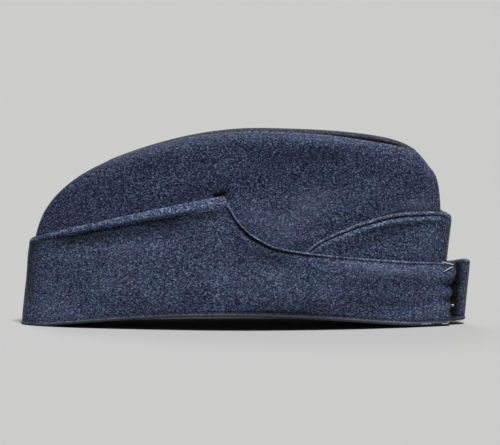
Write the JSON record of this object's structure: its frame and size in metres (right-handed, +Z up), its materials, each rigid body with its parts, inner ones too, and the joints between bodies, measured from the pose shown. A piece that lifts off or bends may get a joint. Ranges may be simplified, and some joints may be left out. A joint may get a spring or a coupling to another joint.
{
  "type": "field service cap",
  "caption": "Soft wool field service cap with a folded crown, a turned-up curtain ending in straps and a turned-up front peak; worn on the head, it stands on its rim.",
  "frame": {"origin": "under the middle of the cap's box, on the surface that its rim stands on", "axes": "+X towards the front of the cap, +Y towards the wearer's left, +Z up"},
  "size_m": [0.2911, 0.0832, 0.1266],
  "materials": {
    "crown_serge": "blue-grey wool serge, napped",
    "curtain_serge": "blue-grey wool serge, napped, stitched edges",
    "peak_serge": "blue-grey wool serge, napped, stitched edge"
  },
  "bodies": {
    "root": {"crown_right": "crown_serge", "crown_left": "crown_serge", "crown_top": "crown_serge", "curtain_right": "curtain_serge", "curtain_left": "curtain_serge", "front_peak": "peak_serge"}
  },
  "joints": []
}
